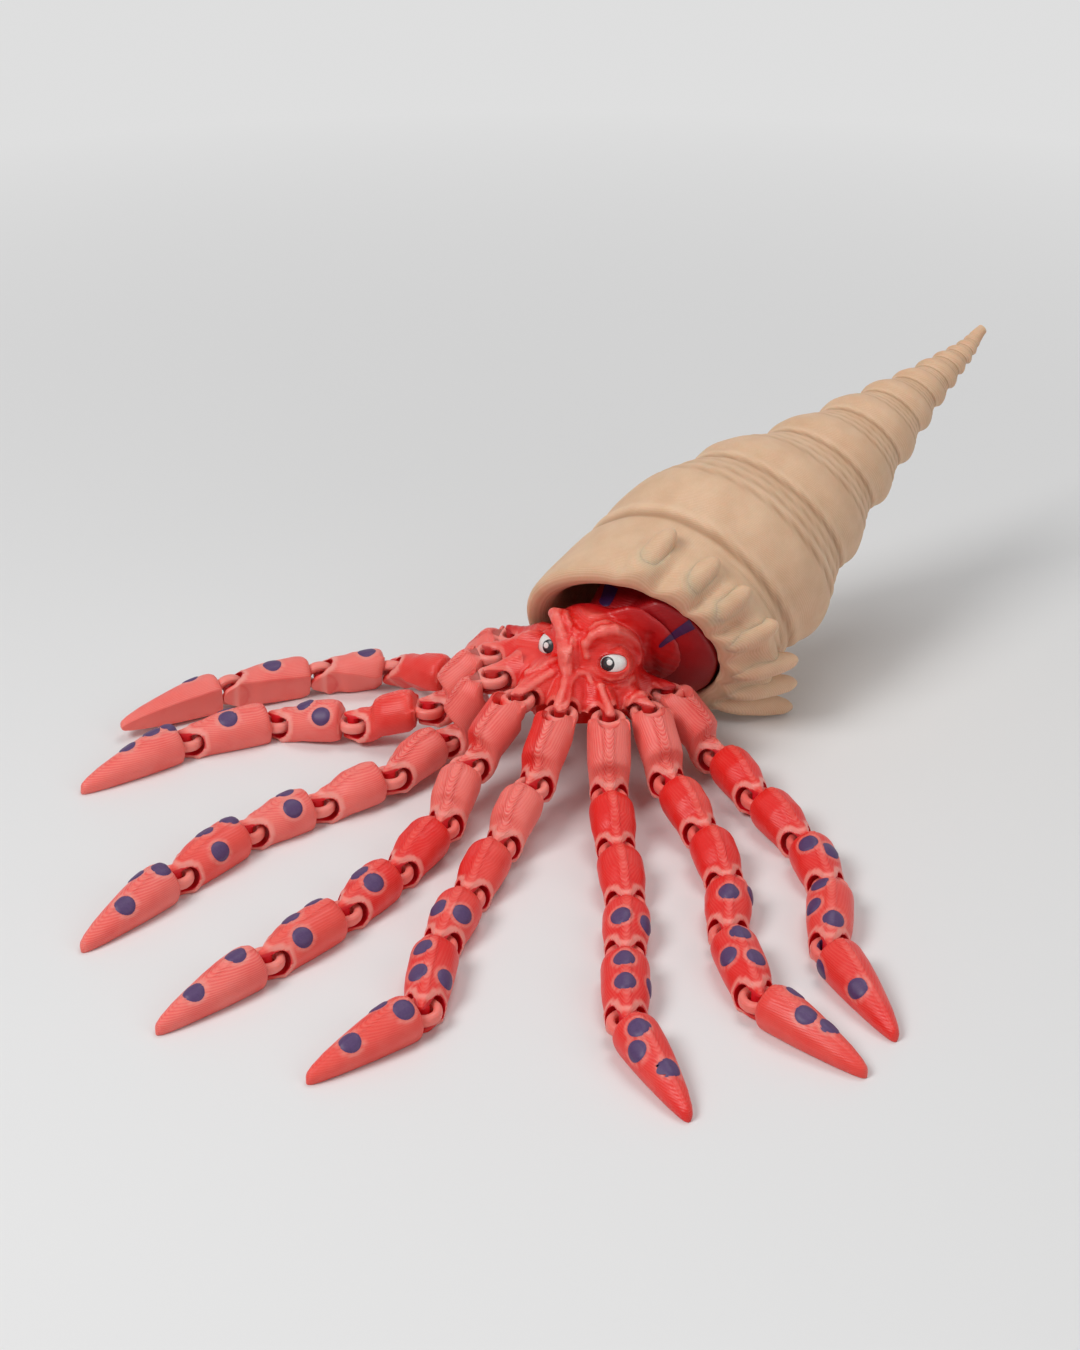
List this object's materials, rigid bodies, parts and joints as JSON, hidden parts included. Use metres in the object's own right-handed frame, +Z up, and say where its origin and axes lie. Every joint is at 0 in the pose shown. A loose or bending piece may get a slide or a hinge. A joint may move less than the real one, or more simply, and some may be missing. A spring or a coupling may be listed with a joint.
{
  "type": "articulated squid figurine",
  "caption": "Articulated toy squid with jointed curling arms, its head and body seated in a long spiral shell with a spiked lip.",
  "frame": {"origin": "centre of the footprint, on the surface it lies on", "axes": "+Z up, -Y toward the arms' side, the head looks to -Y and a little to -X, the shell points to +X +Y and up"},
  "size_m": [0.1945, 0.2046, 0.0618],
  "materials": {
    "red": "silk-gloss printed plastic",
    "pink": "silk-gloss printed plastic",
    "dark_red": "silk-gloss printed plastic",
    "sand": "matt printed plastic with fine layer lines",
    "white": "smooth white plastic"
  },
  "bodies": {
    "head": {"head": "red", "mantle": "dark_red", "eye_left": "white", "eye_right": "white"},
    "shell": {"shell": "sand"},
    "arm_1_link_1": {"arm_1_link_1": "pink"},
    "arm_1_link_2": {"arm_1_link_2": "red"},
    "arm_1_link_3": {"arm_1_link_3": "red"},
    "arm_1_link_4": {"arm_1_link_4": "red"},
    "arm_1_link_5": {"arm_1_link_5": "red"},
    "arm_2_link_1": {"arm_2_link_1": "pink"},
    "arm_2_link_2": {"arm_2_link_2": "red"},
    "arm_2_link_3": {"arm_2_link_3": "red"},
    "arm_2_link_4": {"arm_2_link_4": "red"},
    "arm_2_link_5": {"arm_2_link_5": "red"},
    "arm_3_link_1": {"arm_3_link_1": "pink"},
    "arm_3_link_2": {"arm_3_link_2": "pink"},
    "arm_3_link_3": {"arm_3_link_3": "red"},
    "arm_3_link_4": {"arm_3_link_4": "red"},
    "arm_3_link_5": {"arm_3_link_5": "red"},
    "arm_3_link_6": {"arm_3_link_6": "red"},
    "arm_4_link_1": {"arm_4_link_1": "pink"},
    "arm_4_link_2": {"arm_4_link_2": "pink"},
    "arm_4_link_3": {"arm_4_link_3": "red"},
    "arm_4_link_4": {"arm_4_link_4": "red"},
    "arm_4_link_5": {"arm_4_link_5": "red"},
    "arm_4_link_6": {"arm_4_link_6": "red"},
    "arm_5_link_1": {"arm_5_link_1": "pink"},
    "arm_5_link_2": {"arm_5_link_2": "pink"},
    "arm_5_link_3": {"arm_5_link_3": "red"},
    "arm_5_link_4": {"arm_5_link_4": "red"},
    "arm_5_link_5": {"arm_5_link_5": "red"},
    "arm_5_link_6": {"arm_5_link_6": "red"},
    "arm_6_link_1": {"arm_6_link_1": "pink"},
    "arm_6_link_2": {"arm_6_link_2": "pink"},
    "arm_6_link_3": {"arm_6_link_3": "red"},
    "arm_6_link_4": {"arm_6_link_4": "red"},
    "arm_6_link_5": {"arm_6_link_5": "red"},
    "arm_6_link_6": {"arm_6_link_6": "red"},
    "arm_7_link_1": {"arm_7_link_1": "pink"},
    "arm_7_link_2": {"arm_7_link_2": "pink"},
    "arm_7_link_3": {"arm_7_link_3": "red"},
    "arm_7_link_4": {"arm_7_link_4": "red"},
    "arm_7_link_5": {"arm_7_link_5": "red"},
    "arm_7_link_6": {"arm_7_link_6": "red"},
    "arm_8_link_1": {"arm_8_link_1": "pink"},
    "arm_8_link_2": {"arm_8_link_2": "pink"},
    "arm_8_link_3": {"arm_8_link_3": "red"},
    "arm_8_link_4": {"arm_8_link_4": "red"},
    "arm_8_link_5": {"arm_8_link_5": "red"},
    "arm_8_link_6": {"arm_8_link_6": "red"}
  },
  "joints": [
    {"name": "shell_slide", "type": "slide", "parent": "head", "child": "shell", "axis": [0.6997, 0.6257, 0.3448], "range_m": [0, 0.03]},
    {"name": "arm_1_joint_1", "type": "hinge", "parent": "head", "child": "arm_1_link_1", "pos_m": [-0.00927, 0.03511, 0.01887], "axis": [0, 0, 1], "range_deg": [-59, 5]},
    {"name": "arm_1_joint_2", "type": "hinge", "parent": "arm_1_link_1", "child": "arm_1_link_2", "pos_m": [-0.02148, 0.03816, 0.007], "axis": [-0.1524, -0.3422, -0.9272], "range_deg": [-5, 23]},
    {"name": "arm_1_joint_3", "type": "hinge", "parent": "arm_1_link_2", "child": "arm_1_link_3", "pos_m": [-0.03495, 0.04724, 0.00441], "axis": [0.1853, 0.7433, 0.6428], "range_deg": [-59, 2]},
    {"name": "arm_1_joint_4", "type": "hinge", "parent": "arm_1_link_3", "child": "arm_1_link_4", "pos_m": [-0.0513, 0.04552, 0.00414], "axis": [0.2139, -0.9267, -0.309], "range_deg": [-29, 56]},
    {"name": "arm_1_joint_5", "type": "hinge", "parent": "arm_1_link_4", "child": "arm_1_link_5", "pos_m": [-0.0701, 0.03868, 0.00439], "axis": [-0.4028, 0.9047, 0.1392], "range_deg": [-50, 35]},
    {"name": "arm_2_joint_1", "type": "hinge", "parent": "head", "child": "arm_2_link_1", "pos_m": [-0.01376, 0.02653, 0.01949], "axis": [0, 0, 1], "range_deg": [-4, 3]},
    {"name": "arm_2_joint_2", "type": "hinge", "parent": "arm_2_link_1", "child": "arm_2_link_2", "pos_m": [-0.02672, 0.02329, 0.0085], "axis": [0, 0, -1], "range_deg": [-21, 3]},
    {"name": "arm_2_joint_3", "type": "hinge", "parent": "arm_2_link_2", "child": "arm_2_link_3", "pos_m": [-0.04257, 0.02468, 0.0043], "axis": [0, 0, 1], "range_deg": [-6, 22]},
    {"name": "arm_2_joint_4", "type": "hinge", "parent": "arm_2_link_3", "child": "arm_2_link_4", "pos_m": [-0.05877, 0.02724, 0.003], "axis": [0, 0, -1], "range_deg": [-8, 9]},
    {"name": "arm_2_joint_5", "type": "hinge", "parent": "arm_2_link_4", "child": "arm_2_link_5", "pos_m": [-0.07718, 0.01943, 0.003], "axis": [0, 0, 1], "range_deg": [-32, 16]},
    {"name": "arm_3_joint_1", "type": "hinge", "parent": "head", "child": "arm_3_link_1", "pos_m": [-0.01332, 0.01684, 0.01943], "axis": [0, 0, 1], "range_deg": [-6, 7]},
    {"name": "arm_3_joint_2", "type": "hinge", "parent": "arm_3_link_1", "child": "arm_3_link_2", "pos_m": [-0.02343, 0.01506, 0.0055], "axis": [0, 0, -1], "range_deg": [-1, 18]},
    {"name": "arm_3_joint_3", "type": "hinge", "parent": "arm_3_link_2", "child": "arm_3_link_3", "pos_m": [-0.03397, 0.00249, 0.0043], "axis": [0, 0, 1], "range_deg": [-19, 11]},
    {"name": "arm_3_joint_4", "type": "hinge", "parent": "arm_3_link_3", "child": "arm_3_link_4", "pos_m": [-0.04788, -0.00619, 0.003], "axis": [0, 0, -1], "range_deg": [-17, 30]},
    {"name": "arm_3_joint_5", "type": "hinge", "parent": "arm_3_link_4", "child": "arm_3_link_5", "pos_m": [-0.06102, -0.0161, 0.003], "axis": [0, 0, 1], "range_deg": [-44, 16]},
    {"name": "arm_3_joint_6", "type": "hinge", "parent": "arm_3_link_5", "child": "arm_3_link_6", "pos_m": [-0.07305, -0.03207, 0.003], "axis": [0, 0, -1], "range_deg": [-30, 36]},
    {"name": "arm_4_joint_1", "type": "hinge", "parent": "head", "child": "arm_4_link_1", "pos_m": [-0.00807, 0.0087, 0.01871], "axis": [0, 0, 1], "range_deg": [-14, 8]},
    {"name": "arm_4_joint_2", "type": "hinge", "parent": "arm_4_link_1", "child": "arm_4_link_2", "pos_m": [-0.01819, -0.00143, 0.009], "axis": [0, 0, -1], "range_deg": [-11, 14]},
    {"name": "arm_4_joint_3", "type": "hinge", "parent": "arm_4_link_2", "child": "arm_4_link_3", "pos_m": [-0.0228, -0.0165, 0.0043], "axis": [0, 0, 1], "range_deg": [-20, 20]},
    {"name": "arm_4_joint_4", "type": "hinge", "parent": "arm_4_link_3", "child": "arm_4_link_4", "pos_m": [-0.03125, -0.03056, 0.003], "axis": [0, 0, -1], "range_deg": [-26, 23]},
    {"name": "arm_4_joint_5", "type": "hinge", "parent": "arm_4_link_4", "child": "arm_4_link_5", "pos_m": [-0.04021, -0.04435, 0.003], "axis": [0, 0, 1], "range_deg": [-35, 35]},
    {"name": "arm_4_joint_6", "type": "hinge", "parent": "arm_4_link_5", "child": "arm_4_link_6", "pos_m": [-0.05333, -0.05945, 0.003], "axis": [0, 0, -1], "range_deg": [-47, 41]},
    {"name": "arm_5_joint_1", "type": "hinge", "parent": "head", "child": "arm_5_link_1", "pos_m": [0.00056, 0.0043, 0.01752], "axis": [0, 0, 1], "range_deg": [-2, 10]},
    {"name": "arm_5_joint_2", "type": "hinge", "parent": "arm_5_link_1", "child": "arm_5_link_2", "pos_m": [-0.00532, -0.00956, 0.009], "axis": [0, 0, -1], "range_deg": [-11, 7]},
    {"name": "arm_5_joint_3", "type": "hinge", "parent": "arm_5_link_2", "child": "arm_5_link_3", "pos_m": [-0.01173, -0.02396, 0.0043], "axis": [0, 0, 1], "range_deg": [-8, 18]},
    {"name": "arm_5_joint_4", "type": "hinge", "parent": "arm_5_link_3", "child": "arm_5_link_4", "pos_m": [-0.01734, -0.03937, 0.003], "axis": [0, 0, -1], "range_deg": [-20, 14]},
    {"name": "arm_5_joint_5", "type": "hinge", "parent": "arm_5_link_4", "child": "arm_5_link_5", "pos_m": [-0.02215, -0.0551, 0.003], "axis": [0, 0, 1], "range_deg": [-16, 20]},
    {"name": "arm_5_joint_6", "type": "hinge", "parent": "arm_5_link_5", "child": "arm_5_link_6", "pos_m": [-0.02424, -0.07499, 0.003], "axis": [0, 0, -1], "range_deg": [-38, 0]},
    {"name": "arm_6_joint_1", "type": "hinge", "parent": "head", "child": "arm_6_link_1", "pos_m": [0.01024, 0.00484, 0.0162], "axis": [0, 0, 1], "range_deg": [-8, 5]},
    {"name": "arm_6_joint_2", "type": "hinge", "parent": "arm_6_link_1", "child": "arm_6_link_2", "pos_m": [0.01024, -0.00948, 0.0065], "axis": [0, 0, -1], "range_deg": [-5, 14]},
    {"name": "arm_6_joint_3", "type": "hinge", "parent": "arm_6_link_2", "child": "arm_6_link_3", "pos_m": [0.01138, -0.02575, 0.0043], "axis": [0, 0, 1], "range_deg": [-14, 10]},
    {"name": "arm_6_joint_4", "type": "hinge", "parent": "arm_6_link_3", "child": "arm_6_link_4", "pos_m": [0.01281, -0.04208, 0.003], "axis": [0, 0, -1], "range_deg": [-11, 22]},
    {"name": "arm_6_joint_5", "type": "hinge", "parent": "arm_6_link_4", "child": "arm_6_link_5", "pos_m": [0.01195, -0.05851, 0.003], "axis": [0, 0, 1], "range_deg": [-22, 22]},
    {"name": "arm_6_joint_6", "type": "hinge", "parent": "arm_6_link_5", "child": "arm_6_link_6", "pos_m": [0.0116, -0.07851, 0.003], "axis": [0, 0, -1], "range_deg": [-13, 37]},
    {"name": "arm_7_joint_1", "type": "hinge", "parent": "head", "child": "arm_7_link_1", "pos_m": [0.01833, 0.01018, 0.01509], "axis": [0, 0, 1], "range_deg": [-8, 2]},
    {"name": "arm_7_joint_2", "type": "hinge", "parent": "arm_7_link_1", "child": "arm_7_link_2", "pos_m": [0.02272, -0.00418, 0.0065], "axis": [0, 0, -1], "range_deg": [-5, 10]},
    {"name": "arm_7_joint_3", "type": "hinge", "parent": "arm_7_link_2", "child": "arm_7_link_3", "pos_m": [0.02883, -0.0193, 0.0043], "axis": [0, 0, 1], "range_deg": [-14, 5]},
    {"name": "arm_7_joint_4", "type": "hinge", "parent": "arm_7_link_3", "child": "arm_7_link_4", "pos_m": [0.03224, -0.03534, 0.003], "axis": [0, 0, -1], "range_deg": [-8, 21]},
    {"name": "arm_7_joint_5", "type": "hinge", "parent": "arm_7_link_4", "child": "arm_7_link_5", "pos_m": [0.03109, -0.05175, 0.003], "axis": [0, 0, 1], "range_deg": [-38, 10]},
    {"name": "arm_7_joint_6", "type": "hinge", "parent": "arm_7_link_5", "child": "arm_7_link_6", "pos_m": [0.03525, -0.07131, 0.003], "axis": [0, 0, -1], "range_deg": [-11, 55]},
    {"name": "arm_8_joint_1", "type": "hinge", "parent": "head", "child": "arm_8_link_1", "pos_m": [0.02264, 0.01886, 0.0145], "axis": [0, 0, 1], "range_deg": [-2, 59]},
    {"name": "arm_8_joint_2", "type": "hinge", "parent": "arm_8_link_1", "child": "arm_8_link_2", "pos_m": [0.03338, 0.00918, 0.005], "axis": [0, 0, -1], "range_deg": [-59, 2]},
    {"name": "arm_8_joint_3", "type": "hinge", "parent": "arm_8_link_2", "child": "arm_8_link_3", "pos_m": [0.04007, -0.00583, 0.0043], "axis": [0, 0, 1], "range_deg": [-5, 38]},
    {"name": "arm_8_joint_4", "type": "hinge", "parent": "arm_8_link_3", "child": "arm_8_link_4", "pos_m": [0.04802, -0.02017, 0.003], "axis": [0, 0, -1], "range_deg": [-59, 8]},
    {"name": "arm_8_joint_5", "type": "hinge", "parent": "arm_8_link_4", "child": "arm_8_link_5", "pos_m": [0.05144, -0.03627, 0.003], "axis": [0, 0, 1], "range_deg": [-11, 59]},
    {"name": "arm_8_joint_6", "type": "hinge", "parent": "arm_8_link_5", "child": "arm_8_link_6", "pos_m": [0.04935, -0.05616, 0.003], "axis": [0, 0, -1], "range_deg": [-14, 20]}
  ]
}
